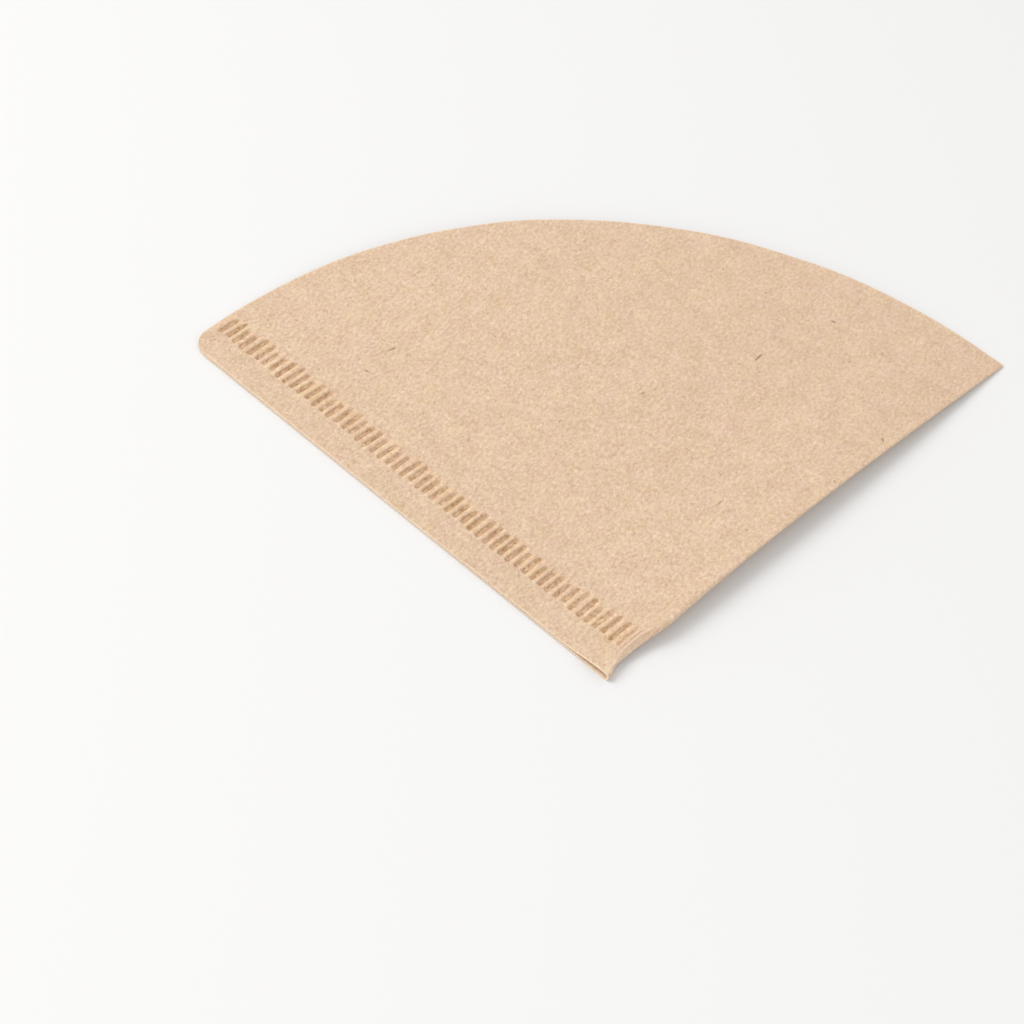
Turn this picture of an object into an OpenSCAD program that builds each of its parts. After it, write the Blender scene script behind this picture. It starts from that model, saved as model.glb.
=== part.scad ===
// Cone-shaped paper coffee filter, as it comes from the packet: one sheet of
// unbleached paper, folded in half along a straight fold and crimped to itself
// along a straight seam. It lies flat on its lower layer.
//
// The flat blank is a half disc with a seam allowance on each straight side.
// Folded, it is a quarter disc: the fold is one straight side, the crimped seam
// the other, and the arc is the open mouth. The cone's point is where the fold
// meets the inner edge of the crimped band.

/* [Blank] */
// Radius of the mouth's arc, from the point of the cone
mouth_r = 117; // [85:1:150]
// Thickness of the paper
paper_t = 0.22; // [0.15:0.01:0.35]
// Radius of the rounded corner where the seam edge meets the mouth
corner_r = 5; // [2:0.2:5.4]

/* [Crimped seam] */
// Width of the crimped band, which is the length of one groove
crimp_w = 6.7; // [4:0.1:9]
// Width of the loose margin outside the crimped band
margin_w = 6.75; // [5.5:0.25:10]
// Distance from one groove to the next
crimp_pitch = 2.11; // [1.8:0.01:3]
// Height from the bottom of a groove to the top of a ridge
crimp_depth = 0.5; // [0.2:0.05:0.6]
// Distance from the fold to the first groove
crimp_start = 5.1; // [3:0.1:8]
// Distance that the crimps stop short of the mouth, at the least
crimp_stop = 0.5; // [0.4:0.1:4]
// How far a groove takes to run out at each end
crimp_run_out = 0.6; // [0.3:0.1:1]
// How far the band's inner edge lies past the cone's point
crimp_shift = 1.15; // [0.1:0.05:1.5]

/* [Fold and pocket] */
// Room left inside the fold near the cone's point
fold_gap = 1.2; // [0.1:0.05:1.4]
// Room left inside the fold at the mouth
fold_gap_mouth = 0.15; // [0.05:0.05:0.6]
// How far from the fold the two layers come together, in the pocket
fold_reach = 4.5; // [3:0.5:6]
// Height that the two layers stand apart at the middle of the mouth
pocket_gap = 2.4; // [0.3:0.1:3.5]
// Height that the two flaps of the margin stand apart at the seam edge
margin_gap = 0.18; // [0.05:0.01:0.5]
// Height that the fold arches up from what it lies on, at the most
fold_arch = 3.8; // [0:0.1:5]
// How far in from the fold that arch runs out
arch_reach = 38; // [20:1:50]

/* [Hidden] */

// Columns across the pocket, rows along a column, steps around the fold
pocket_n = 34;
row_n = 8;
bend_n = 8;
fillet_n = 5;
wave_n = 6;

// The seam's lines: inner edge of the band, outer edge of the band, seam edge
x_in = crimp_shift;
x_out = x_in - crimp_w;
x_seam = x_out - margin_w;

// Half of the crimp's depth: the band's middle level stands this far up
crimp_a = crimp_depth / 2;
// How far into the pocket the lower layer takes to come down from the band
lift_run = 9;

// Where the crimps begin: from the fold to here the two layers stand apart,
// and beyond it they are one solid along the band
y_join = crimp_start - crimp_pitch / 2;
// How far along the fold its wide end at the cone's point gets narrow
loop_len = 24;
// How far in the fold is pulled beside the crimps, at the most
fold_in = 0.42;
// How far from the fold the margin's two flaps come together at the seam edge
flap_reach = 12;
// Powers that set where the fold's arch is highest
arch_a = 0.85;
arch_b = 1.15;
arch_top = pow(arch_a / (arch_a + arch_b), arch_a) * pow(arch_b / (arch_a + arch_b), arch_b);

// The rounded corner's centre, and the direction from the cone's point to it
fil_x = x_seam + corner_r;
fil_y = sqrt(pow(mouth_r - corner_r, 2) - fil_x * fil_x);
fil_a = atan2(fil_y, fil_x);

function arc_y(x) = sqrt(max(0, mouth_r * mouth_r - x * x));
function lerp(a, b, k) = a + (b - a) * k;

// A smooth rise from 0 at a to 1 at b
function smooth(a, b, v) = let (k = min(1, max(0, (v - a) / (b - a)))) k * k * (3 - 2 * k);
// A smooth fall from 1 at the fold to 0 where k is 1
function fall(k) = k >= 1 ? 0 : pow(1 - k, 2) * (1 + 2 * k);
function reach(x) = x < x_out ? lerp(y_join, flap_reach, (x_out - x) / margin_w)
    : x > x_in ? lerp(y_join, fold_reach, min(1, (x - x_in) / 8)) : y_join;

// Height of the lower layer's underside above the surface it lies on
function lift(x) = x <= x_in ? crimp_a : crimp_a * max(0, 1 - (x - x_in) / lift_run);
function arch(x, y) = let (k = (x - x_seam) / (mouth_r - x_seam))
    k <= 0 || k >= 1 || y >= arch_reach ? 0 :
    fold_arch * pow(k, arch_a) * pow(1 - k, arch_b) / arch_top * pow(1 - y / arch_reach, 2);
function under(x, y) = lift(x) * (1 - 0.8 * fall(y / reach(x))) + arch(x, y);

// Room between the two layers. In the pocket it is a shallow cone bulge on
// straight lines through the cone's point, and along the fold it is a loop that
// runs through the band and the margin to the seam edge.
function loop_gap(x) = lerp(fold_gap_mouth, fold_gap, exp(-pow(max(0, x) / loop_len, 2)));
// Across the band the loop is pressed down: it has a soft crease at y = crease_y,
// and slopes from there to the fold. crease is 1 where that is strongest.
function crease(x) = smooth(x_seam + 1.5, x_out + 0.75, x) * smooth(x_in + 2.45, x_in - 2.15, x);
function crease_y(x) = 0.42 * y_join * crease(x);
function loop(x, y) = let (b = crease(x), c = crease_y(x), g = loop_gap(x), top = g * (1 - 0.35 * b))
    y >= c ? top * fall((y - c) / (reach(x) - c)) : top - 0.45 * g * b * pow(1 - y / c, 1.1);
// The crimps take up paper, so beside them the fold is sharper, and is pulled in
function pinch(x) = smooth(x_seam, x_seam + 4.3, x) * smooth(x_in + 4.85, x_in - 5.15, x);
function pull(x, y) = let (k = y / (0.49 * y_join)) y + (k >= 1 ? 0 : fold_in * pinch(x) * pow(1 - k, 2));
function bulge(u, y) = u <= 0 || y <= 0 ? 0 : pocket_gap / mouth_r * 2 * u * y / sqrt(u * u + y * y);
function margin(x) = margin_gap * (x_out - x) / margin_w;
function gap(x, y) = (x < x_out ? margin(x) : x > x_in ? bulge(x - x_in, y) : 0)
    + loop(x, y);
// How far the fold's bend stands out past the fold line
function bend_out(x) = paper_t + 0.6 * loop_gap(x) * (1 - 0.9 * pinch(x));

// The crimp's wave along the seam
crimp_n = floor((arc_y(x_out) - crimp_stop - crimp_start) / crimp_pitch + 0.5);
wave_m = [for (m = [-wave_n / 2 : crimp_n * wave_n - wave_n / 2]) m];
function wave(m) = m == wave_m[0] || m == wave_m[len(wave_m) - 1] ? 0 : -crimp_a * cos(360 * m / wave_n);

// Rows along a plain column that ends at y = top, and along a crimped one.
// Each row is [y, height of the crimp's wave there].
function plain_rows(x, top) =
    let (r = min(reach(x), top / 3))
    top <= 0 ? [[0, 0]] : concat(
        [for (f = [0, 0.2, 0.42, 0.7]) [f * r, 0]],
        [for (i = [0 : row_n]) [lerp(r, top, pow(i / row_n, 1.4)), 0]]);
loop_rows = [for (f = [0, 0.2, 0.42, 0.7]) [f * y_join, 0]];
function crimp_rows(top, amp) = concat(loop_rows,
    [for (m = wave_m) [crimp_start + m * crimp_pitch / wave_n, amp * wave(m)]],
    [[top, 0]]);

// One section of the folded sheet at x, from the lower layer's mouth edge,
// round the fold, to the upper layer's mouth edge. off is the distance in from
// the outer skin: 0 on the outside, paper_t on the inside. Each point is
// [position along the sheet, x, y, z].
function section(x, rows, off) =
    let (n = len(rows) - 1,
         zb = under(x, 0), g = gap(x, 0),
         zc = zb + paper_t + g / 2,
         rz = paper_t + g / 2 - off,
         ry = bend_out(x) - off)
    concat(
        [for (i = [n : -1 : 0]) [-1 - rows[i][0], x, pull(x, rows[i][0]), under(x, rows[i][0]) + off + rows[i][1]]],
        [for (i = [1 : bend_n - 1]) let (a = 180 * i / bend_n) [-cos(a), x, pull(x, 0) - ry * sin(a), zc - rz * cos(a)]],
        [for (i = [0 : n]) [1 + rows[i][0], x, pull(x, rows[i][0]),
            under(x, rows[i][0]) + 2 * paper_t + gap(x, rows[i][0]) - off + rows[i][1]]]);

// The line on which the two layers part, at either edge of the crimped band,
// and the point in it where the crimps begin
function parting(x, top) = [for (i = [0 : row_n + 2]) let (y = lerp(y_join, top, pow(i / (row_n + 2), 1.2)))
    [y, x, y, under(x, y) + paper_t]];

// Columns, each [x, top]
margin_cols = [for (k = [0 : fillet_n]) let (a = lerp(180, fil_a, k / fillet_n))
    [fil_x + corner_r * cos(a), fil_y + corner_r * sin(a)]];
pocket_a = asin(x_in / mouth_r);
pocket_cols = [for (i = [1 : pocket_n]) let (a = lerp(pocket_a, 90, i / pocket_n))
    i == pocket_n ? [mouth_r, 0] : [mouth_r * sin(a), mouth_r * cos(a)]];
band_x = [x_out, x_out + crimp_run_out, x_in - crimp_run_out, x_in];
band_amp = [0, 1, 1, 0];

// Outer skin: every section from the seam edge to the far end of the fold
outer = concat(
    [for (c = margin_cols) section(c[0], plain_rows(c[0], c[1]), 0)],
    [for (i = [0 : 3]) section(band_x[i], crimp_rows(arc_y(band_x[i]), band_amp[i]), 0)],
    [for (c = pocket_cols) section(c[0], plain_rows(c[0], c[1]), 0)]);
// Inner skins: the margin, the loop through the band, the pocket, and the two
// parting lines. The loop closes on one point of the band at each section.
inner_m = [for (c = margin_cols) section(c[0], plain_rows(c[0], c[1]), paper_t)];
inner_b = [for (x = band_x) section(x, loop_rows, paper_t)];
inner_p = [for (c = pocket_cols) section(c[0], plain_rows(c[0], c[1]), paper_t)];
part_0 = parting(x_out, arc_y(x_out));
part_3 = parting(x_in, arc_y(x_in));
joins = [[parting(band_x[1], arc_y(band_x[1]))[0]], [parting(band_x[2], arc_y(band_x[2]))[0]]];

groups = concat(outer, inner_m, inner_b, inner_p, [part_0], joins, [part_3]);
starts = [for (i = 0, s = 0; i < len(groups); s = s + len(groups[i]), i = i + 1) s];
no = len(outer);
nm = len(margin_cols);
np = len(pocket_cols);
band_g = no + nm;
line_g = no + nm + 4 + np;

// A run of vertices: each is [position along the sheet, vertex number]
function run(g) = [for (i = [0 : len(groups[g]) - 1]) [groups[g][i][0], starts[g] + i]];
// The inner run at a section of the band: down the parting line, round the
// loop, and back along the parting line
function run_band(i) = let (r = run(line_g + i), n = len(r) - 1) concat(
    [for (j = [n : -1 : 0]) [-1 - r[j][0], r[j][1]]],
    run(band_g + i),
    [for (j = [0 : n]) [1 + r[j][0], r[j][1]]]);
// The loop's part of such a run
function run_loop(i) = let (p = run(line_g + i)[0]) concat([[-1 - p[0], p[1]]], run(band_g + i), [[1 + p[0], p[1]]]);

// Triangles between two runs, taking the nearer next vertex each time
function pick(a, b, s) = s[1] >= len(b) - 1 ? true : s[0] >= len(a) - 1 ? false : a[s[0] + 1][0] <= b[s[1] + 1][0];
function after(a, b, s) = pick(a, b, s) ? [s[0] + 1, s[1]] : [s[0], s[1] + 1];
function stitch(a, b) = [
    for (s = [0, 0]; s[0] < len(a) - 1 || s[1] < len(b) - 1; s = after(a, b, s))
        pick(a, b, s) ? [a[s[0]][1], a[s[0] + 1][1], b[s[1]][1]]
                      : [a[s[0]][1], b[s[1] + 1][1], b[s[1]][1]]];
function turned(f) = [for (t = f) [t[2], t[1], t[0]]];
function first(r) = r[0];
function last(r) = r[len(r) - 1];

outer_runs = [for (g = [0 : no - 1]) run(g)];
inner_m_runs = concat([for (g = [0 : nm - 1]) run(no + g)], [run_band(0)]);
inner_p_runs = concat([run_band(3)], [for (g = [0 : np - 1]) run(band_g + 4 + g)]);
loop_runs = [for (i = [0 : 3]) run_loop(i)];
// The outer sections that go with each inner one
outer_m_runs = [for (g = [0 : nm]) outer_runs[g]];
outer_p_runs = [for (g = [nm + 3 : no - 1]) outer_runs[g]];

// The paper's cut edge along the mouth, for one stretch of the two skins
function rim(o, n) = concat(
    [for (i = [0 : len(o) - 2]) each turned(stitch([first(o[i]), [9, first(n[i])[1]]], [first(o[i + 1]), [9, first(n[i + 1])[1]]]))],
    [for (i = [0 : len(o) - 2]) each stitch([last(o[i]), [999, last(n[i])[1]]], [last(o[i + 1]), [999, last(n[i + 1])[1]]])]);
// The cut edge along the end of the crimped band, where the layers are one
function through(i) = i == 0 ? [[0, first(outer_runs[nm])[1]], [1, last(inner_m_runs[nm])[1]], [2, last(outer_runs[nm])[1]]]
    : i == 3 ? [[0, first(outer_runs[nm + 3])[1]], [1, last(inner_p_runs[0])[1]], [2, last(outer_runs[nm + 3])[1]]]
    : [[0, first(outer_runs[nm + i])[1]], [2, last(outer_runs[nm + i])[1]]];

sheet_faces = concat(
    [for (i = [0 : no - 2]) each stitch(outer_runs[i], outer_runs[i + 1])],
    [for (i = [0 : nm - 1]) each turned(stitch(inner_m_runs[i], inner_m_runs[i + 1]))],
    [for (i = [0 : 2]) each turned(stitch(loop_runs[i], loop_runs[i + 1]))],
    [for (i = [0 : np - 1]) each turned(stitch(inner_p_runs[i], inner_p_runs[i + 1]))],
    rim(outer_m_runs, inner_m_runs),
    rim(outer_p_runs, inner_p_runs),
    [for (i = [0 : 2]) each turned(stitch(through(i), through(i + 1)))],
    // the cut edge along the seam, and the end of the fold at the mouth
    turned(stitch(outer_m_runs[0], inner_m_runs[0])),
    stitch(outer_p_runs[np], inner_p_runs[np]));
sheet_points = [for (g = groups) each [for (p = g) [p[1], p[2], p[3]]]];

// The whole filter, with its origin under the middle of its outline
module filter_sheet() {
    color([0.87, 0.73, 0.59])
        translate([-(mouth_r + x_seam) / 2, -(mouth_r - bend_out(x_seam)) / 2, 0])
            polyhedron(points = sheet_points, faces = sheet_faces, convexity = 6);
}

filter_sheet();
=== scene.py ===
import math

import bpy
import numpy as np
from mathutils import Matrix


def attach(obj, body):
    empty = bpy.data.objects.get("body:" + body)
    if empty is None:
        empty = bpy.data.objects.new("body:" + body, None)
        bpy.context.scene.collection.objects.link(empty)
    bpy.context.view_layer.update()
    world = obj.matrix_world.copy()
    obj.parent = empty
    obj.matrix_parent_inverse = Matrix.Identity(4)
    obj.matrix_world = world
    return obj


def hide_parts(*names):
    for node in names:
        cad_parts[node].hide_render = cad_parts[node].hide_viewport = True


# A cone-shaped paper coffee filter folded flat: one sheet of unbleached paper,
# folded along +X, crimped to itself along a seam parallel to +Y.
# Lengths in this file are millimetres in the sheet's own coordinates, whose
# origin is the cone's point, until place() turns them into metres in the frame.

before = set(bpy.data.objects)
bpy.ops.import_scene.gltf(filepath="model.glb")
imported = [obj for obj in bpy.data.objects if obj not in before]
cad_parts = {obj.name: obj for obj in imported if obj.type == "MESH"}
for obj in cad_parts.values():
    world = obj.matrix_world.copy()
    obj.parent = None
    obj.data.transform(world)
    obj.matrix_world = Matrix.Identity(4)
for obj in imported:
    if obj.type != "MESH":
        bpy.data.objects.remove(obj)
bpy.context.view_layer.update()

# ---------------------------------------------------------------- dimensions
MOUTH_R = 117.0
PAPER = 0.22
CORNER_R = 5.0
CRIMP_W, MARGIN_W = 6.7, 6.75
PITCH, CRIMP_START, CRIMP_STOP = 2.11, 5.1, 0.5
CRIMP_A = 0.25
X_IN = 1.15
X_OUT = X_IN - CRIMP_W
X_SEAM = X_OUT - MARGIN_W
FOLD_GAP, FOLD_GAP_MOUTH, FOLD_REACH = 1.2, 0.15, 4.5
POCKET_GAP, MARGIN_GAP = 2.4, 0.18
FOLD_ARCH, ARCH_REACH, ARCH_A, ARCH_B = 3.8, 38.0, 0.85, 1.15
LIFT_RUN, LOOP_LEN, FLAP_REACH, FOLD_IN = 9.0, 24.0, 12.0, 0.42
Y_JOIN = CRIMP_START - PITCH / 2         # the layers are apart from the fold to here
BEND_OUT = PAPER + 0.6 * FOLD_GAP
FIL_X = X_SEAM + CORNER_R
FIL_Y = math.sqrt((MOUTH_R - CORNER_R) ** 2 - FIL_X ** 2)
FIL_A = math.atan2(FIL_Y, FIL_X)
GROOVES = int(math.floor((math.sqrt(MOUTH_R ** 2 - X_OUT ** 2) - CRIMP_STOP - CRIMP_START) / PITCH + 0.5))
OFFSET = ((MOUTH_R + X_SEAM) / 2, (MOUTH_R - BEND_OUT) / 2)


def place(p):
    """Sheet coordinates in millimetres to frame coordinates in metres."""
    q = np.array(p, float).reshape(-1, 3)
    q[:, 0] -= OFFSET[0]
    q[:, 1] -= OFFSET[1]
    return q * 0.001


def arc_y(x):
    return math.sqrt(max(0.0, MOUTH_R ** 2 - x * x))


def smooth(a, b, v):
    k = min(1.0, max(0.0, (v - a) / (b - a)))
    return k * k * (3 - 2 * k)


def wander(x, y, seed):
    """A smooth uneven field of about -1 to 1, with waves some 15 to 60 mm long."""
    s = seed * 1.713
    return (
        0.42 * math.sin(0.110 * x + 0.064 * y + 1.3 + s)
        + 0.33 * math.sin(-0.071 * x + 0.143 * y + 4.1 + 2.3 * s)
        + 0.21 * math.sin(0.213 * x - 0.171 * y + 0.7 + 1.1 * s)
        + 0.13 * math.sin(0.331 * x + 0.287 * y + 2.9 + 3.7 * s)
    )


def hash01(k, salt):
    """A fixed number from 0 to 1 for each groove."""
    v = math.sin(k * 12.9898 + salt * 78.233) * 43758.5453
    return v - math.floor(v)


# ---------------------------------------------------------------- the sheet's form
def fall(k):
    return 0.0 if k >= 1 else (1 - k) ** 2 * (1 + 2 * k)


def reach(x):
    """How far from the fold its loop runs."""
    if x < X_OUT:
        return Y_JOIN + (FLAP_REACH - Y_JOIN) * (X_OUT - x) / MARGIN_W
    if x > X_IN:
        return Y_JOIN + (FOLD_REACH - Y_JOIN) * min(1.0, (x - X_IN) / 8)
    return Y_JOIN


def lift(x):
    return CRIMP_A if x <= X_IN else CRIMP_A * smooth(LIFT_RUN, 0, x - X_IN)


ARCH_TOP = (ARCH_A / (ARCH_A + ARCH_B)) ** ARCH_A * (ARCH_B / (ARCH_A + ARCH_B)) ** ARCH_B


def arch(x, y):
    k = (x - X_SEAM) / (MOUTH_R - X_SEAM)
    if k <= 0 or k >= 1 or y >= ARCH_REACH:
        return 0.0
    return FOLD_ARCH * k ** ARCH_A * (1 - k) ** ARCH_B / ARCH_TOP * (1 - y / ARCH_REACH) ** 2


def rest_wander(x, y):
    """How far the lower layer stands off what it lies on, beyond its arch: paper is never quite flat."""
    if x <= X_IN:
        return 0.0
    k = smooth(1, 14, x - X_IN) * smooth(0, 16, y)
    return k * 0.13 * max(0.0, wander(x, y, 1.0))


def under(x, y):
    return lift(x) * (1 - 0.8 * fall(y / reach(x))) + arch(x, y) + rest_wander(x, y)


def loop_gap(x):
    return FOLD_GAP_MOUTH + (FOLD_GAP - FOLD_GAP_MOUTH) * math.exp(-(max(0.0, x) / LOOP_LEN) ** 2)


def crease(x):
    """1 where the loop is pressed down most, 0 at the seam edge and in the pocket."""
    return smooth(X_SEAM + 2.6, X_OUT + 0.1, x) * smooth(X_IN + 2.45, X_IN - 2.15, x)


def crease_y(x):
    return 0.33 * Y_JOIN * crease(x)


def loop(x, y):
    """Room in the loop. Across the band it slopes from a soft crease down to the fold."""
    b, g, c = crease(x), loop_gap(x), crease_y(x)
    top = g * (1 - 0.35 * b)
    if y >= c:
        return top * fall((y - c) / (reach(x) - c))
    return top - 0.45 * g * b * (1 - y / c) ** 1.1


def pinch(x):
    """The crimps take up paper, so beside them the fold is sharper, and is pulled in."""
    return smooth(X_SEAM, X_SEAM + 4.3, x) * smooth(X_IN + 4.85, X_IN - 5.15, x)


def pull(x, y):
    k = y / (0.49 * Y_JOIN)
    return y if k >= 1 else y + FOLD_IN * pinch(x) * (1 - k) ** 2


def bend_out(x):
    return PAPER + 0.6 * loop_gap(x) * (1 - 0.9 * pinch(x))


def bulge(u, y):
    if u <= 0 or y <= 0:
        return 0.0
    return POCKET_GAP / MOUTH_R * 2 * u * y / math.hypot(u, y)


def gap(x, y):
    g = loop(x, y)
    if x < X_OUT:
        g += MARGIN_GAP * (X_OUT - x) / MARGIN_W * (1 + 0.45 * wander(0, y, 3.0) + 0.2 * math.sin(0.61 * y))
    if x > X_IN:
        u = x - X_IN
        r = math.hypot(x, y)
        g += bulge(u, y) * (1 + 0.05 * wander(x, y, 2.0))
        k = smooth(4, 22, u) * smooth(5, 24, y)
        g += k * 0.14 * wander(x, y, 5.0)
        g += k * 0.10 * smooth(MOUTH_R - 18, MOUTH_R, r) * math.sin(7.0 * math.atan2(y, x) + 0.6)
    return g


def groove(x, y):
    """(height of the crimp's wave, how pressed the paper is: 1 at the bottom of a groove, -1 on a ridge)."""
    m = (y - CRIMP_START) / PITCH
    k = int(math.floor(m + 0.5))
    if k < -1 or k > GROOVES:
        return 0.0, 0.0

    # each ridge and groove is a little different in depth, place, slant, width and length
    def one(k):
        near = 0.1 if k < 0 else 0.0
        return k + near + 0.19 * (hash01(k, 1) - 0.5) + 0.12 * (hash01(k, 2) - 0.5) * (x - (X_IN + X_OUT) / 2) / (CRIMP_W / 2)

    other = k + 1 if m > one(k) else k - 1
    c0, c1 = one(k), one(other)
    phase = (m - c0) / abs(c1 - c0)
    side = min(1.0, abs(phase) * 2)

    # on a ridge, halfway between the groove and the next
    def between(f):
        return f(k) + (f(other) - f(k)) * side / 2

    deep = 1 - 0.40 * between(lambda n: hash01(n, 3))
    start = X_OUT + 0.78 * between(lambda n: hash01(n, 4) ** 2)
    stop = X_IN - 1.5 * between(lambda n: hash01(n, 5) ** 2)
    wave = -math.cos(2 * math.pi * phase)
    wider = 0.14 + 0.5 * (between(lambda n: hash01(n, 7)) - 0.5) - 0.10 * smooth(X_OUT + 2.5, X_IN, x)
    shaped = math.tanh(1.9 * (wave - wider)) / math.tanh(1.9)
    if shaped < 0:
        # a groove is rounded at its outer end and tapers at its inner end
        taper = (0.3 + 0.9 * hash01(k, 8)) * (side / 0.55) ** 1.5
        env = smooth(start, start + 0.36, x - 0.17 * side * side) * smooth(stop, stop - 0.55, x + taper)
    else:
        # and a ridge between two grooves runs all the way
        env = smooth(X_OUT, X_OUT + 0.45, x) * smooth(X_IN, X_IN - 0.75, x)
    # shallower towards the cone
    env *= 1 - 0.12 * smooth(X_OUT + 3.0, X_IN, x)
    first_last = 1.0
    if m > GROOVES - 0.5:
        first_last = smooth(GROOVES, GROOVES - 0.5, m)
    if first_last < 1:
        shaped = max(shaped, 0.0)
    press = first_last * shaped
    if m < -0.5:
        # one more groove, a faint one, lies where the crimps reach the fold's loop
        first_last = smooth(-1.0, -0.5, m)
        press = shaped * (first_last if shaped > 0 else 0.62)
        first_last = first_last if shaped > 0 else 0.45
    w = 0.25 * deep * env * first_last * shaped
    return w, -env * press


def groove_tone(y):
    """How much darker than the others, or paler, this groove is."""
    k = int(math.floor((y - CRIMP_START) / PITCH + 0.5))
    return 2 * hash01(k, 6) - 1


# ---------------------------------------------------------------- columns and rows
POCKET_N, FILLET_N, BEND_N, WAVE_N = 104, 10, 18, 16
fold_rows = [0.0, 0.05, 0.11, 0.18, 0.26, 0.35, 0.45, 0.56, 0.68, 0.82, 1.0]
loop_rows = [0.0, 0.2, 0.42, 0.66, 0.92, 1.2, 1.36, 1.53, 1.7, 1.83, 1.95, 2.06, 2.16] + [2.16 + 0.135 * i for i in range(1, 14)]


def plain_rows(x, top):
    if top <= 1e-9:
        return [0.0]
    a = min(reach(x), top / 3)
    rows = [y * a for y in fold_rows]
    n = max(4, int(math.ceil((top - a) / 1.75)))
    return rows + [a + (top - a) * i / n for i in range(1, n + 1)]


def crimp_rows(x, top):
    last = CRIMP_START + GROOVES * PITCH
    m = int(round((last - Y_JOIN) / PITCH * WAVE_N))
    rows = [Y_JOIN + (last - Y_JOIN) * i / m for i in range(m + 1)]
    rows = [y for y in rows if y < top - 0.03]
    return loop_rows + rows + [top]


def creased(rows, x):
    """The rows moved so that one of them lies on the crease."""
    c = crease_y(x)
    if c < 0.2:
        return rows
    near = min(rows, key=lambda y: abs(y - 1.7))
    end = next(y for y in rows if y > near + 1.2)
    return [y * c / near if y <= near else c + (y - near) * (end - c) / (end - near) if y < end else y for y in rows]


def drift(layer, a):
    """The two mouth edges were cut together but have crept apart by a hair since."""
    return -0.05 * layer - 0.06 * layer * math.sin(2.6 * a + 0.8) - 0.03 * math.sin(9.0 * a + 2.0 * layer)


columns = []            # x, y where it ends, kind
for k in range(FILLET_N + 1):
    a = math.pi + (FIL_A - math.pi) * k / FILLET_N
    columns.append((FIL_X + CORNER_R * math.cos(a), FIL_Y + CORNER_R * math.sin(a), "m"))
x_last = columns[-1][0]
for k in range(1, 5):
    x = x_last + (X_OUT - x_last) * k / 5
    columns.append((x, arc_y(x), "m"))
band_in = [0.0, 0.14, 0.28, 0.44, 0.62, 0.85, 1.2]
n_flat = 6
band_x = [X_OUT + v for v in band_in]
band_x += [X_OUT + 1.2 + (CRIMP_W - 2.4) * k / n_flat for k in range(1, n_flat)]
band_x += [X_IN - v for v in reversed(band_in)]
columns += [(x, arc_y(x), "b") for x in band_x]
a0 = math.asin(X_IN / MOUTH_R)
for i in range(1, POCKET_N + 1):
    a = a0 + (math.pi / 2 - a0) * i / POCKET_N
    columns.append((MOUTH_R, 0.0, "p") if i == POCKET_N else (MOUTH_R * math.sin(a), MOUTH_R * math.cos(a), "p"))

# place, place on the flat sheet, how pressed, its groove's tone, the painted highlight (positive) or painted shade
# (negative) at the crease, the painted shade on the slope below it
verts, flat, press, tone_of, crease_paint_of, slope_shade_of = [], [], [], [], [], []


# the crease value is painted highlight (positive) or painted shade (negative) at the crease; the slope value is
# painted shade below it
def vertex(p, f, g=0.0, tone=0.0, crease=0.0, slope_shade=0.0):
    verts.append(p)
    crease_paint_of.append(crease)
    slope_shade_of.append(slope_shade)
    flat.append(f)
    press.append(g)
    tone_of.append(tone)
    return len(verts) - 1


def cut(x, top, layer):
    """Where this layer's mouth edge is on this column."""
    if top <= 0:
        return 0.0
    a = math.atan2(top, x)
    k = smooth(0, 10, top)
    return top + (drift(layer, a) * k if x > X_IN else drift(layer, a) * smooth(X_SEAM + CORNER_R, X_IN, x) * 0.6)


def fold_edge_highlight(x, y):
    """Near the tip the fold's own upper edge carries the painted highlight line."""
    return smooth(X_OUT - 1.2, X_OUT - 2.6, x) * smooth(0.55, 0.0, abs(y - 0.1))


def section(x, top, off, kind):
    """One section of the folded sheet: a run of (position along the sheet, vertex)."""
    low_top, up_top = cut(x, top, 0), cut(x, top, 1)
    if kind == "loop":
        low, up = loop_rows, creased(loop_rows, x)
    else:
        rows = crimp_rows if kind == "b" else plain_rows
        low, up = rows(x, low_top), creased(rows(x, up_top), x)
    g0 = gap(x, 0)
    zb = under(x, 0)
    zc = zb + PAPER + g0 / 2
    rz = PAPER + g0 / 2 - off
    ry = bend_out(x) - off
    creep = 0.0
    if x < X_OUT:
        creep = (X_OUT - x) / MARGIN_W
    run = []
    crimped = kind in ("b", "loop")
    for y in reversed(low):
        w, g = groove(x, y) if crimped else (0.0, 0.0)
        dx = -0.07 * creep * (0.4 + 0.6 * math.sin(0.043 * y + 1.0)) * smooth(0, 8, y) * 0.5
        run.append((-1 - y, vertex((x - dx, pull(x, y), under(x, y) + off + w), (x, -1 - y, off), -g, groove_tone(y))))
    for i in range(1, BEND_N):
        a = math.pi * i / BEND_N
        c = math.cos(a)
        run.append((-c, vertex((x, pull(x, 0) - ry * math.sin(a), zc - rz * c), (x, -c, off), crease=fold_edge_highlight(x, 1.5 * (1 + c)))))
    for y in up:
        w, g = groove(x, y) if crimped else (0.0, 0.0)
        dx = 0.16 * creep * (0.45 + 0.55 * math.sin(0.037 * y + 2.2)) * smooth(0, 8, y)
        z = under(x, y) + 2 * PAPER + gap(x, y) - off + w
        c = crease_y(x)
        # painted highlight on the crease line, and painted shade 0.5 mm beside it, away from the fold
        line = crease(x) ** 0.5 * (smooth(0.32, 0.0, abs(y - c)) - smooth(0.36, 0.0, abs(y - c - 0.5))) if c >= 0.2 else 0.0
        line = max(line, fold_edge_highlight(x, y)) if line >= 0 else line
        # painted shade on the slope between the crease and the fold
        slope_shade = smooth(X_OUT - 0.6, X_OUT + 1.0, x) * smooth(X_IN + 1.9, X_IN - 0.5, x) * smooth(c + 0.05, c - 0.35, y) if c >= 0.2 else 0.0
        run.append((1 + y, vertex((x + dx, pull(x, y), z), (x, 1 + y, off), g, groove_tone(y), line, slope_shade)))
    return run


def join(x):
    """The point of a section of the band where the crimps begin and the layers come together."""
    return vertex((x, Y_JOIN, under(x, Y_JOIN) + PAPER + groove(x, Y_JOIN)[0]), (x, 1 + Y_JOIN, PAPER))


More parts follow.
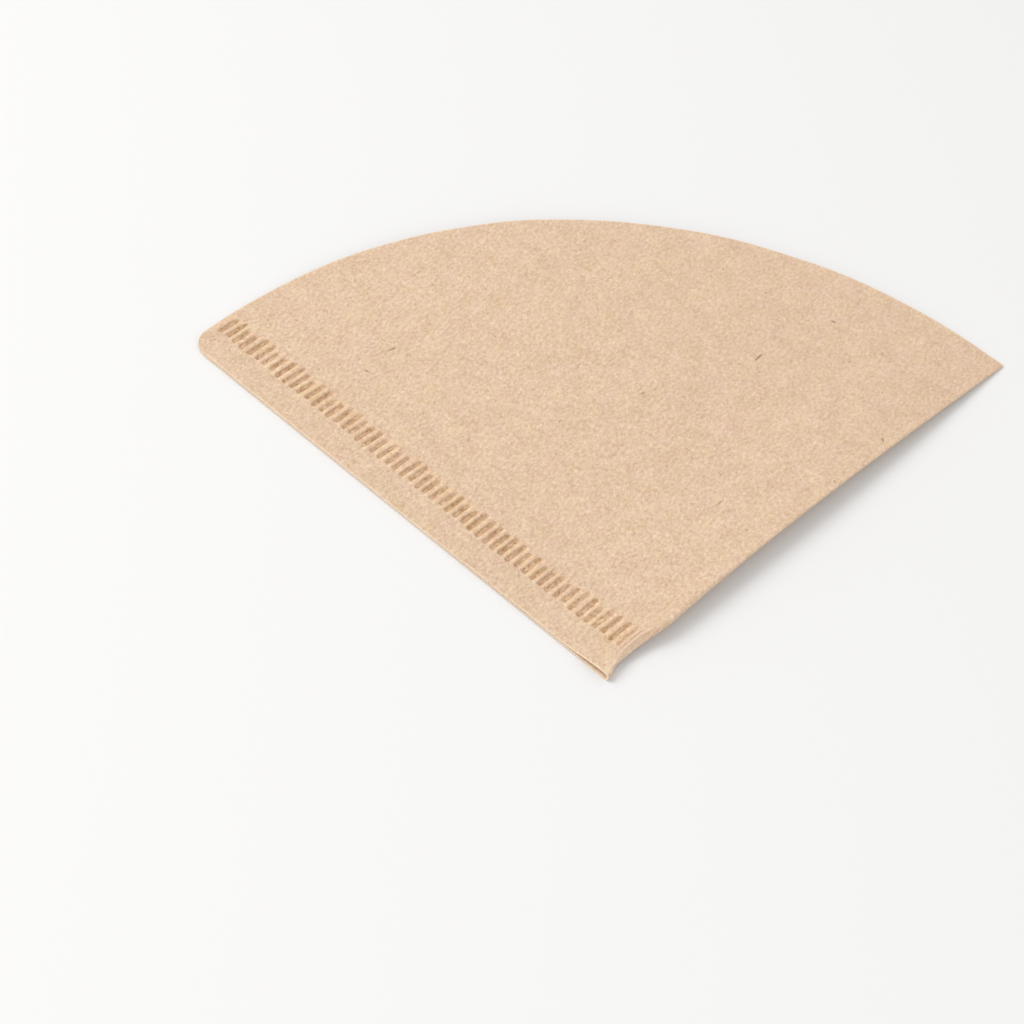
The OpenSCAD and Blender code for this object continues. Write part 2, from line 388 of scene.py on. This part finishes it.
def parting(x, top):
    """The line on which the two layers part, at either edge of the crimped band: (distance from the fold, vertex)."""
    rows = [y for y in plain_rows(x, top) if y > Y_JOIN + 0.3]
    return [(Y_JOIN, join(x))] + [(y, vertex((x, y, under(x, y) + PAPER), (x, 1 + y, PAPER))) for y in rows]


def with_lines(line, loop):
    """A whole inner run at an edge of the band: down the parting line, round the loop, and back along the line."""
    return [(-1 - y, v) for y, v in reversed(line)] + loop + [(1 + y, v) for y, v in line]


faces, kinds = [], []


def stitch(a, b, kind, turned=False):
    """Triangles between two runs, taking the nearer next vertex each time."""
    i = j = 0
    while i < len(a) - 1 or j < len(b) - 1:
        if j >= len(b) - 1 or (i < len(a) - 1 and a[i + 1][0] <= b[j + 1][0] + 1e-9):
            t = (a[i][1], a[i + 1][1], b[j][1])
            i += 1
        else:
            t = (a[i][1], b[j + 1][1], b[j][1])
            j += 1
        faces.append(t[::-1] if turned else t)
        kinds.append(kind)


OUTER, INNER, RIM_SEAM, RIM_ARC, RIM_FOLD, RIM_BAND = range(6)
outer = [section(x, top, 0.0, kind) for x, top, kind in columns]
m_cols = [c for c in columns if c[2] == "m"]
p_cols = [c for c in columns if c[2] == "p"]
nm, nb, npk = len(m_cols), len(band_x), len(p_cols)
lines = [parting(x, arc_y(x)) if i in (0, nb - 1) else [(Y_JOIN, join(x))] for i, x in enumerate(band_x)]
loops = [section(x, arc_y(x), PAPER, "loop") for x in band_x]
line_vertices = {v for line in lines for _, v in line}
inner_b = [with_lines(line[:1], loop) for line, loop in zip(lines, loops)]
inner_m = [section(x, top, PAPER, "m") for x, top, _ in m_cols] + [with_lines(lines[0], loops[0])]
inner_p = [with_lines(lines[-1], loops[-1])] + [section(x, top, PAPER, "p") for x, top, _ in p_cols]
outer_m = outer[: nm + 1]
outer_p = outer[nm + nb - 1:]

for a, b in zip(outer[:-1], outer[1:]):
    stitch(a, b, OUTER)
for some in (inner_m, inner_b, inner_p):
    for a, b in zip(some[:-1], some[1:]):
        stitch(a, b, INNER, True)


def fuzz(k):
    """A cut edge isn't a plane: fibres stand a hair proud of it."""
    return 0.022 + 0.020 * hash01(k, 11)


def middle(o, n, out, k):
    """A vertex halfway through the paper, a hair outside the cut edge."""
    po, pn = np.array(verts[o]), np.array(verts[n])
    fo = flat[o]
    return vertex(tuple((po + pn) / 2 + np.array(out) * fuzz(k)), (fo[0], fo[1], PAPER / 2))


# the cut edge along the seam, and the end of the fold at the mouth
mid_seam = [(o[0], middle(o[1], n[1], (-1, 0, 0), i)) for i, (o, n) in enumerate(zip(outer_m[0], inner_m[0]))]
mid_fold = [(o[0], middle(o[1], n[1], (1, 0, 0), i)) for i, (o, n) in enumerate(zip(outer_p[-1], inner_p[-1]))]
stitch(outer_m[0], mid_seam, RIM_SEAM, True)
stitch(mid_seam, inner_m[0], RIM_SEAM, True)
stitch(outer_p[-1], mid_fold, RIM_FOLD)
stitch(mid_fold, inner_p[-1], RIM_FOLD)


# the cut edge along the mouth, where the layers are apart
def mouth_edge(o, n, known, which):
    mids = []
    for i, (a, b) in enumerate(zip(o, n)):
        if i in known:
            mids.append(known[i])
            continue
        p = verts[a[which][1]]
        r = math.hypot(p[0], p[1])
        mids.append(middle(a[which][1], b[which][1], (p[0] / r, p[1] / r, 0), 1000 * (which + 2) + i))
    for i in range(len(o) - 1):
        A, B = o[i][which][1], o[i + 1][which][1]
        C, D = mids[i], mids[i + 1]
        E, F = n[i][which][1], n[i + 1][which][1]
        for q in ((A, B, D, C), (C, D, F, E)):
            for t in ((q[0], q[1], q[2]), (q[0], q[2], q[3])):
                if len(set(t)) == 3:
                    faces.append(t if which == 0 else t[::-1])
                    kinds.append(RIM_ARC)
    return mids


low_m = mouth_edge(outer_m, inner_m, {0: mid_seam[0][1]}, 0)
up_m = mouth_edge(outer_m, inner_m, {0: mid_seam[-1][1]}, -1)
last = len(outer_p) - 1
low_p = mouth_edge(outer_p, inner_p, {last: mid_fold[0][1]}, 0)
up_p = mouth_edge(outer_p, inner_p, {last: mid_fold[-1][1]}, -1)

# the cut edge at the end of the crimped band, where the layers are one
through = []
for i in range(nb):
    o = outer[nm + i]
    lo, hi = o[0][1], o[-1][1]
    if i == 0:
        through.append([(0, lo), (0.5, low_m[-1]), (1, inner_m[-1][0][1]), (1.5, up_m[-1]), (2, hi)])
    elif i == nb - 1:
        through.append([(0, lo), (0.5, low_p[0]), (1, inner_p[0][0][1]), (1.5, up_p[0]), (2, hi)])
    else:
        a, b = np.array(verts[lo]), np.array(verts[hi])
        mid = (a + b) / 2
        quarter = []
        for k, f in ((0.5, 0.25), (1.0, 0.5), (1.5, 0.75)):
            p = a + (b - a) * f
            p[1] += fuzz(2000 + 3 * i + int(2 * k)) * (1.0 if k != 1.0 else -0.3)
            quarter.append((k, vertex(tuple(p), (p[0], 1 + p[1], PAPER * (0.5 if k != 1.0 else 1.0)))))
        through.append([(0, lo)] + quarter + [(2, hi)])
for a, b in zip(through[:-1], through[1:]):
    stitch(a, b, RIM_BAND, True)

# ---------------------------------------------------------------- the mesh
points = place(verts)
faces = np.array(faces, np.int32)[:, ::-1]      # the runs above go clockwise: turned, so that all faces look outwards
kinds = np.array(kinds)
corner_sets = [len(set(f)) == 3 for f in faces.tolist()]
faces, kinds = faces[corner_sets], kinds[corner_sets]
mesh = bpy.data.meshes.new("coffee_filter")
mesh.from_pydata(points.tolist(), [], faces.tolist())
mesh.update()

flat = np.array(flat, np.float32)
press = np.array(press, np.float32)
at = flat[faces.ravel()]             # for each corner of each face
# a parting line belongs to both layers: on the lower layer's faces it counts as the lower layer's
on_line = np.isin(faces, sorted(line_vertices))
lower_face = (np.where(on_line, 0, flat[faces][:, :, 1]).min(axis=1) < 0) & (kinds == INNER)
flip = (on_line & lower_face[:, None]).ravel()
at[flip, 1] *= -1
layer = mesh.attributes.new("flat_sheet", "FLOAT_VECTOR", "CORNER")
layer.data.foreach_set("vector", at.ravel())
layer = mesh.attributes.new("press", "FLOAT", "POINT")
layer.data.foreach_set("value", press)
layer = mesh.attributes.new("groove_tone", "FLOAT", "POINT")
layer.data.foreach_set("value", np.array(tone_of, np.float32))
# the painted highlight and painted shade at the crease and the fold's upper edge
layer = mesh.attributes.new("crease", "FLOAT", "POINT")
layer.data.foreach_set("value", np.array(crease_paint_of, np.float32))
layer = mesh.attributes.new("slope_shade", "FLOAT", "POINT")
layer.data.foreach_set("value", np.array(slope_shade_of, np.float32))
layer = mesh.attributes.new("cut_edge", "FLOAT", "CORNER")
layer.data.foreach_set("value", np.repeat((kinds >= RIM_SEAM).astype(np.float32), 3))

# The map: the two sides of the flat blank next to each other, with the cut
# edges as thin strips along the outlines that they belong to.
SIDE = 284.0
centre = 131.0
fx, fs = at[:, 0], at[:, 1]
on_outer = np.c_[fx - X_SEAM + 5.0, fs + centre]
on_inner = np.c_[fx - X_SEAM + 5.0 + 140.0, fs + centre]
turn = np.where(fs < 0, -1.0, 1.0)
r = np.hypot(fx, np.maximum(0, np.abs(fs) - 1)) + 1e-6
outward_arc = np.c_[fx / r, turn * np.maximum(0, np.abs(fs) - 1) / r]
depth = (at[:, 2] / PAPER)[:, None]
band_z = points[faces.ravel(), 2] * 1000
uv_of = {
    OUTER: on_outer,
    INNER: on_inner,
    RIM_SEAM: on_outer + depth * np.array([[-1.6, 0.0]]),
    RIM_ARC: on_outer + depth * 1.6 * outward_arc,
    RIM_FOLD: on_outer + depth * np.array([[1.6, 0.0]]),
    RIM_BAND: np.c_[fx - X_SEAM + 40.0, 262.0 + 3.0 * band_z],
}
uv = np.zeros((len(faces) * 3, 2))
for kind, places in uv_of.items():
    pick = np.repeat(kinds == kind, 3)
    uv[pick] = places[pick]
uv /= SIDE
uv_layer = mesh.uv_layers.new(name="OFBake", do_init=False)
uv_layer.uv.foreach_set("vector", uv.astype(np.float32).ravel())

mesh.shade_smooth()
mesh.set_sharp_from_angle(angle=math.radians(42))
mesh.validate()

sheet = bpy.data.objects.new("coffee_filter_sheet", mesh)
bpy.context.scene.collection.objects.link(sheet)


# ---------------------------------------------------------------- materials
class Tree:
    """Short names for building a node tree."""

    def __init__(self, material):
        material.use_nodes = True
        self.nodes, self.links = material.node_tree.nodes, material.node_tree.links
        self.shader = next(n for n in self.nodes if n.type == "BSDF_PRINCIPLED")
        self.count = 0

    def new(self, kind, **values):
        n = self.nodes.new(kind)
        n.location = (-300 - 190 * (self.count % 9), 300 - 220 * (self.count // 9))
        self.count += 1
        for k, v in values.items():
            setattr(n, k, v)
        return n

    def put(self, socket, value):
        if isinstance(value, bpy.types.NodeSocket):
            self.links.new(value, socket)
        elif value is not None:
            socket.default_value = value

    def math(self, op, a, b=None, c=None, clamp=False):
        n = self.new("ShaderNodeMath", operation=op, use_clamp=clamp)
        for i, v in enumerate((a, b, c)):
            self.put(n.inputs[i], v)
        return n.outputs[0]

    def ramp(self, v, a, b, lo=0.0, hi=1.0, smooth=True):
        n = self.new("ShaderNodeMapRange", interpolation_type="SMOOTHSTEP" if smooth else "LINEAR")
        for i, x in enumerate((v, a, b, lo, hi)):
            self.put(n.inputs[i], x)
        return n.outputs[0]

    def mix(self, fac, a, b, blend="MIX"):
        n = self.new("ShaderNodeMix", data_type="RGBA", blend_type=blend)
        self.put(n.inputs[0], fac)
        self.put(n.inputs[6], a)
        self.put(n.inputs[7], b)
        return n.outputs[2]

    def noise(self, vector, scale, detail=2.0, rough=0.5, distort=0.0):
        n = self.new("ShaderNodeTexNoise", noise_dimensions="3D")
        self.put(n.inputs["Vector"], vector)
        n.inputs["Scale"].default_value = scale
        n.inputs["Detail"].default_value = detail
        n.inputs["Roughness"].default_value = rough
        n.inputs["Distortion"].default_value = distort
        return n.outputs[0]

    def mapping(self, vector, loc=(0, 0, 0), rot=0.0, scale=(1, 1, 1), kind="TEXTURE"):
        n = self.new("ShaderNodeMapping", vector_type=kind)
        self.put(n.inputs["Vector"], vector)
        n.inputs["Location"].default_value = loc
        n.inputs["Rotation"].default_value = (0, 0, rot)
        n.inputs["Scale"].default_value = scale
        return n.outputs[0]


paper = bpy.data.materials.new("unbleached_paper")
t = Tree(paper)
where = t.new("ShaderNodeAttribute", attribute_name="flat_sheet").outputs["Vector"]
pressed = t.new("ShaderNodeAttribute", attribute_name="press").outputs["Fac"]
# the two sides of the paper differ, so depth counts ten times
solid = t.mapping(where, scale=(1, 1, 0.1))
# more of the fibres lie one way, as the pulp ran when the paper was made
grain = t.mapping(solid, rot=math.radians(12), scale=(1.24, 0.86, 1))


def strokes(seed, narrow):
    """A felt of crossing fibres: thin curved lines of noise, drawn out along five directions."""
    felt = []
    for i in range(5):
        angle = 0.30 + 0.628 * i + 0.21 * math.sin(3.1 * i + seed)
        v = t.mapping(grain, loc=(17.3 * i + seed, 5.1 * i - seed, 3.7 * i), rot=angle, scale=(2.0, 0.80, 0.6))
        n = t.noise(v, 1.0, 0.0, 0.5, 0.25)
        line = t.math("ABSOLUTE", t.math("SUBTRACT", n, 0.5))
        felt.append(t.ramp(line, narrow, 0.0))
    a = t.math("MAXIMUM", felt[0], felt[1])
    b = t.math("MAXIMUM", felt[2], felt[3])
    return t.math("MAXIMUM", t.math("MAXIMUM", a, b), felt[4])


pale_felt = strokes(0.0, 0.14)
dark_felt = strokes(7.7, 0.13)
fibres = t.math("ADD", t.math("MULTIPLY", t.math("SUBTRACT", pale_felt, dark_felt), 0.5), 0.5)
fine = t.noise(grain, 2.3, 1.0, 0.5)
grainy = t.noise(grain, 1.25, 1.2, 0.55, 0.3)
cloud = t.noise(solid, 0.22, 2.5, 0.6, 0.4)

# the felt is a little closer, and so less marked, towards the far corner of the mouth
closer = t.new("ShaderNodeSeparateXYZ")
t.put(closer.inputs[0], where)
marked = t.ramp(closer.outputs[0], 10.0, 105.0, 1.0, 0.80)
felt_tone = t.math("MULTIPLY", t.math("SUBTRACT", fibres, 0.5), 0.50)
felt_tone = t.math("ADD", felt_tone, t.math("MULTIPLY", t.math("SUBTRACT", fine, 0.5), 0.24))
felt_tone = t.math("ADD", felt_tone, t.math("MULTIPLY", t.math("SUBTRACT", grainy, 0.5), 0.96))
tone = t.math("ADD", t.math("MULTIPLY", felt_tone, marked), 0.5)
tone = t.math("ADD", tone, t.math("MULTIPLY", t.math("SUBTRACT", cloud, 0.5), 0.46), clamp=True)
PAPER_DARK, PAPER_LIGHT = (0.556, 0.360, 0.238, 1), (0.900, 0.716, 0.534, 1)
colour = t.mix(tone, PAPER_DARK, PAPER_LIGHT)
# the pulp isn't one hue: here a little rosier, there a little yellower
hue = t.noise(t.mapping(solid, loc=(31.0, 9.0, 2.0)), 0.30, 2.0, 0.55, 0.5)
colour = t.mix(t.ramp(hue, 0.36, 0.64), t.mix(1.0, colour, (0.998, 1.008, 0.966, 1), "MULTIPLY"),
               t.mix(1.0, colour, (1.004, 0.992, 1.016, 1), "MULTIPLY"))

# short dark fibres: (x, place along the sheet, length, angle in degrees, strength)
FIBRES = (
    (76.0, 36.3, 2.8, 6, 1.0), (18.4, 88.8, 2.4, 168, 0.85), (76.8, 3.1, 1.7, 47, 0.85),
    (10.0, 87.9, 1.4, 103, 0.9), (37.3, 14.5, 2.6, 4, 0.6), (97.3, 32.7, 1.3, 107, 1.0),
    (38.1, 100.6, 2.0, 0, 0.6), (37.2, 77.6, 2.1, 85, 0.4), (3.7, 50.4, 1.2, 42, 0.7),
    (59.1, 2.1, 1.1, 56, 0.65), (49.1, 45.5, 1.3, 170, 0.7), (92.2, 47.9, 1.0, 12, 0.55),
    (30.1, 51.7, 1.1, 24, 0.65), (90.4, 22.8, 0.9, 155, 0.6), (66.3, 27.8, 1.0, 102, 0.45),
)
specks = None
for x, s, length, angle, strength in FIBRES:
    v = t.mapping(where, loc=(x, s, 0), rot=math.radians(angle), scale=(length * 0.66, 0.31, 1e6))
    g = t.new("ShaderNodeTexGradient", gradient_type="SPHERICAL")
    t.put(g.inputs[0], v)
    one = t.math("MULTIPLY", t.ramp(g.outputs["Fac"], 0.0, 0.62), strength)
    specks = one if specks is None else t.math("MAXIMUM", specks, one)


def scattered(cell, length, width, share, shift):
    """Short fibres scattered over the sheet, one at most in each cell."""
    v = t.mapping(where, loc=shift, kind="POINT")
    n = t.new("ShaderNodeTexVoronoi", voronoi_dimensions="2D", feature="F1")
    t.put(n.inputs["Vector"], v)
    n.inputs["Scale"].default_value = 1 / cell
    n.inputs["Randomness"].default_value = 0.9
    local = t.new("ShaderNodeVectorMath", operation="SUBTRACT")
    t.put(local.inputs[0], v)
    t.put(local.inputs[1], n.outputs["Position"])
    parts = t.new("ShaderNodeSeparateColor")
    t.put(parts.inputs[0], n.outputs["Color"])
    turned = t.new("ShaderNodeVectorRotate", rotation_type="Z_AXIS")
    t.put(turned.inputs["Vector"], local.outputs[0])
    t.put(turned.inputs["Angle"], t.math("MULTIPLY", parts.outputs[0], 6.2832))
    shape = t.mapping(turned.outputs[0], scale=(length, width, 1e6))
    g = t.new("ShaderNodeTexGradient", gradient_type="SPHERICAL")
    t.put(g.inputs[0], shape)
    there = t.ramp(parts.outputs[1], 1 - share, 1.0, 0.25, 1.0)
    there = t.math("MULTIPLY", there, t.math("GREATER_THAN", parts.outputs[1], 1 - share))
    return t.math("MULTIPLY", t.ramp(g.outputs["Fac"], 0.0, 0.6), there)


small = scattered(2.3, 0.46, 0.20, 0.30, (3.1, 7.7, 0))
pale = scattered(2.0, 0.55, 0.22, 0.45, (11.9, 1.3, 0))
# the longer ones elsewhere than on the upper face, which has its own
along_sheet = t.new("ShaderNodeSeparateXYZ")
t.put(along_sheet.inputs[0], where)
elsewhere = t.math("LESS_THAN", along_sheet.outputs[1], 0.0)
longer = t.math("MULTIPLY", scattered(21.0, 1.3, 0.24, 0.45, (5.3, 2.9, 0)), elsewhere)
dark_marks = t.math("MAXIMUM", t.math("MAXIMUM", specks, longer), t.math("MULTIPLY", small, 0.30))
colour = t.mix(t.math("MULTIPLY", dark_marks, 0.72), colour, (0.235, 0.150, 0.095, 1))
colour = t.mix(t.math("MULTIPLY", pale, 0.40), colour, (0.960, 0.800, 0.640, 1))

# crimping presses the paper darker and denser in the grooves, and the groove darkening also holds painted shade of the
# recess; the paler ridges are a painted highlight
groove_shade = t.new("ShaderNodeAttribute", attribute_name="groove_tone").outputs["Fac"]
ragged = t.math("MULTIPLY", t.math("SUBTRACT", t.noise(grain, 1.9, 2.0, 0.6), 0.5), 2.7)
rough_press = t.math("ADD", pressed, t.math("MULTIPLY", ragged, t.ramp(t.math("ABSOLUTE", pressed), 0.02, 0.25)))
in_groove = t.ramp(rough_press, -0.20, 0.70)
core = t.ramp(rough_press, 0.55, 1.15)
on_ridge = t.ramp(pressed, -0.15, -0.9)
uneven = t.math("ADD", t.math("MULTIPLY", t.noise(grain, 0.9, 2.0, 0.5), 1.5), 0.27)
strength = t.math("ADD", t.math("MULTIPLY", groove_shade, 0.30), uneven)
place_x = t.new("ShaderNodeSeparateXYZ")
t.put(place_x.inputs[0], where)
strength = t.math("MULTIPLY", strength, t.ramp(place_x.outputs[0], X_OUT, X_IN, 1.12, 0.98, smooth=False))
darker = t.mix(core, (0.80, 0.71, 0.60, 1), (0.73, 0.63, 0.52, 1))
colour = t.mix(t.math("MULTIPLY", in_groove, strength, clamp=True), colour, t.mix(1.0, colour, darker, "MULTIPLY"))
# here and there a spot that the crimp has pressed right through to the felt's darker middle
spot = t.ramp(t.noise(t.mapping(grain, loc=(13.0, 21.0, 4.0)), 1.35, 1.0, 0.5), 0.54, 0.67)
spot = t.math("MULTIPLY", spot, t.ramp(pressed, 0.35, 0.95))
colour = t.mix(t.math("MULTIPLY", spot, 0.85), colour, t.mix(1.0, colour, (0.69, 0.60, 0.49, 1), "MULTIPLY"))
# elsewhere a groove's floor has sprung back, and is as pale as the sheet between its two darker sides
sprung = t.ramp(t.noise(t.mapping(grain, loc=(9.0, 2.0, 24.0)), 0.42, 1.0, 0.5), 0.50, 0.66)
sprung = t.math("MULTIPLY", sprung, t.ramp(pressed, 0.78, 1.0))
colour = t.mix(t.math("MULTIPLY", sprung, 0.8), colour, t.mix(1.0, colour, (1.20, 1.24, 1.30, 1), "MULTIPLY"))
# a painted highlight along the ridge crests, uneven along them
ridge_highlight = t.ramp(t.noise(t.mapping(grain, loc=(3.0, 7.0, 14.0)), 0.85, 1.5, 0.5), 0.30, 0.70, 0.35, 1.65)
colour = t.mix(t.math("MULTIPLY", on_ridge, ridge_highlight), colour, t.mix(1.0, colour, (1.080, 1.020, 0.935, 1), "MULTIPLY"))

# painted highlight: the crease, and near the tip the fold's upper edge, are a little paler; painted shade: darker
# right beside the crease and greyer on the slope below it
crease_paint = t.new("ShaderNodeAttribute", attribute_name="crease").outputs["Fac"]
colour = t.mix(t.ramp(crease_paint, 0.0, 1.0, 0.0, 0.30, smooth=False), colour, (0.960, 0.790, 0.620, 1))
colour = t.mix(t.ramp(crease_paint, 0.0, -1.0, 0.0, 1.0, smooth=False), colour, t.mix(1.0, colour, (0.80, 0.76, 0.71, 1), "MULTIPLY"))
# painted shade: greyer on the slope below the crease
below_crease_shade = t.new("ShaderNodeAttribute", attribute_name="slope_shade").outputs["Fac"]
colour = t.mix(below_crease_shade, colour, t.mix(1.0, colour, (0.915, 0.900, 0.895, 1), "MULTIPLY"))

# a cut edge shows the loose ends of the fibres and is a little paler, partly its own tone and partly a painted
# highlight; the paler band on the paper right beside it is a painted highlight
edge = t.new("ShaderNodeAttribute", attribute_name="cut_edge").outputs["Fac"]
split = t.new("ShaderNodeSeparateXYZ")
t.put(split.inputs[0], where)
along_x, along_s = split.outputs[0], split.outputs[1]
radius = t.new("ShaderNodeVectorMath", operation="LENGTH")
joined = t.new("ShaderNodeCombineXYZ")
t.put(joined.inputs[0], along_x)
t.put(joined.inputs[1], t.math("MAXIMUM", t.math("SUBTRACT", t.math("ABSOLUTE", along_s), 1.0), 0.0))
t.put(radius.inputs[0], joined.outputs[0])
loose = t.math("MULTIPLY", t.math("SUBTRACT", fine, 0.5), 0.5)
arc_edge_highlight = t.ramp(t.math("ADD", radius.outputs["Value"], loose), MOUTH_R - 0.42, MOUTH_R - 0.05)
seam_edge_highlight = t.ramp(t.math("SUBTRACT", along_x, loose), X_SEAM + 0.42, X_SEAM + 0.05)
# the paler band beside the mouth and seam edges is a painted highlight
near = t.math("MULTIPLY", t.math("MAXIMUM", arc_edge_highlight, seam_edge_highlight), 0.40)
edge = t.math("MAXIMUM", t.math("MULTIPLY", edge, 0.75), near)
colour = t.mix(edge, colour, (0.960, 0.780, 0.600, 1))
t.put(t.shader.inputs["Base Color"], colour)

# matt all over, a little smoother where the crimp has pressed it
roughness = t.math("ADD", t.math("MULTIPLY", fine, 0.14), 0.80)
t.put(t.shader.inputs["Roughness"], t.math("SUBTRACT", roughness, t.math("MULTIPLY", in_groove, 0.10)))
t.shader.inputs["Specular IOR Level"].default_value = 0.30
t.shader.inputs["IOR"].default_value = 1.45

height = t.math("ADD", t.math("MULTIPLY", fibres, 0.9), t.math("ADD", t.math("MULTIPLY", fine, 0.6), t.math("MULTIPLY", grainy, 0.5)))
height = t.math("SUBTRACT", height, t.math("MULTIPLY", t.math("MULTIPLY", height, in_groove), 0.35))
bump = t.new("ShaderNodeBump")
bump.inputs["Strength"].default_value = 1.0
bump.inputs["Distance"].default_value = 0.000022
t.put(bump.inputs["Height"], height)
t.put(t.shader.inputs["Normal"], bump.outputs[0])

mesh.materials.append(paper)

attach(sheet, "root")
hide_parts("filter_sheet")
# Area of one quarter disc of the blank, of the mouth's radius
quarter = math.pi * MOUTH_R ** 2 / 4

# ---------------------------------------------------------------- floor, light and camera
floor_mesh = bpy.data.meshes.new("floor")
F, Z = 9.0, -0.00004
floor_mesh.from_pydata([(-F, -F, Z), (F, -F, Z), (F, F, Z), (-F, F, Z)], [], [(0, 1, 2, 3)])
floor = bpy.data.objects.new("floor", floor_mesh)
bpy.context.scene.collection.objects.link(floor)
pale_floor = bpy.data.materials.new("pale_floor")
pale_floor.use_nodes = True
b = next(n for n in pale_floor.node_tree.nodes if n.type == "BSDF_PRINCIPLED")
b.inputs["Base Color"].default_value = (0.86, 0.86, 0.857, 1)
b.inputs["Roughness"].default_value = 0.9
b.inputs["Specular IOR Level"].default_value = 0.1
floor_mesh.materials.append(pale_floor)

world = bpy.data.worlds.new("studio")
bpy.context.scene.world = world
world.use_nodes = True
sky = next(n for n in world.node_tree.nodes if n.type == "BACKGROUND")
sky.inputs[0].default_value = (1.0, 1.0, 1.0, 1)
sky.inputs[1].default_value = 0.642


def area_light(name, at, size, power, colour=(1, 1, 1)):
    data = bpy.data.lights.new(name, "AREA")
    data.shape, data.size, data.energy, data.color = "SQUARE", size, power, colour
    lamp = bpy.data.objects.new(name, data)
    back = np.array(at, float) / np.linalg.norm(at)
    side = np.cross([0, 0, 1], back)
    side /= np.linalg.norm(side)
    top = np.cross(back, side)
    lamp.matrix_world = Matrix(
        [[side[0], top[0], back[0], at[0]], [side[1], top[1], back[1], at[1]], [side[2], top[2], back[2], at[2]], [0, 0, 0, 1]]
    )
    bpy.context.scene.collection.objects.link(lamp)
    return lamp


area_light("key_light", (-0.70, 0.90, 1.20), 1.0, 15.0, (1.0, 0.985, 0.965))
area_light("fill_light", (-1.5, -0.6, 1.0), 1.4, 3.0)
area_light("front_light", (0.2, -1.6, 0.8), 1.4, 4.0)

camera_data = bpy.data.cameras.new("camera")
camera_data.sensor_fit = "HORIZONTAL"
camera_data.sensor_width = 36.0
camera_data.lens = 105.469
camera_data.clip_start, camera_data.clip_end = 0.01, 30.0
camera_data.dof.use_dof = False
camera = bpy.data.objects.new("camera", camera_data)
right, up, back = (0.678960, -0.723714, 0.123498), (0.490469, 0.572289, 0.657211), (-0.546309, -0.385648, 0.743520)
spot = (-0.375137, -0.248809, 0.446589)
camera.matrix_world = Matrix([[right[i], up[i], back[i], spot[i]] for i in range(3)] + [[0, 0, 0, 1]])
bpy.context.scene.collection.objects.link(camera)
bpy.context.scene.camera = camera

view = bpy.context.scene.view_settings
view.view_transform = "Standard"
view.look = "None"
view.exposure, view.gamma = 0.0, 1.0
